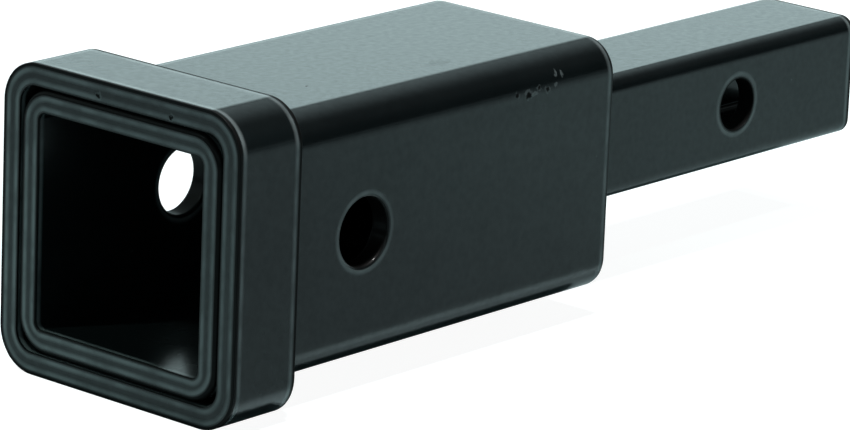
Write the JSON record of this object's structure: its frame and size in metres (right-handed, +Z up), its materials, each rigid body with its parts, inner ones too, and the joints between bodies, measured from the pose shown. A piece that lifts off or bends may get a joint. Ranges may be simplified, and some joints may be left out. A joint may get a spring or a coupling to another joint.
{
  "type": "hitch receiver adapter",
  "caption": "Square receiver tube with a reinforcing collar round its mouth, welded to a smaller square shank, with a cross pin hole in each.",
  "frame": {"origin": "on the surface that the adapter lies on, below the middle of its length", "axes": "+X along the tube from the mouth to the shank's end, +Y along the pins, +Z up"},
  "size_m": [0.2606, 0.0752, 0.0752],
  "materials": {
    "tube_coat": "satin black powder coat",
    "collar_coat": "satin black powder coat",
    "plate_coat": "satin black powder coat",
    "shank_coat": "satin black powder coat",
    "weld_coat": "powder coat over a rippled weld bead"
  },
  "bodies": {
    "root": {"receiver_tube": "tube_coat", "collar": "collar_coat", "end_plate": "plate_coat", "shank": "shank_coat", "collar_weld": "weld_coat", "plate_weld": "weld_coat", "shank_weld": "weld_coat", "inner_weld": "weld_coat"}
  },
  "joints": []
}
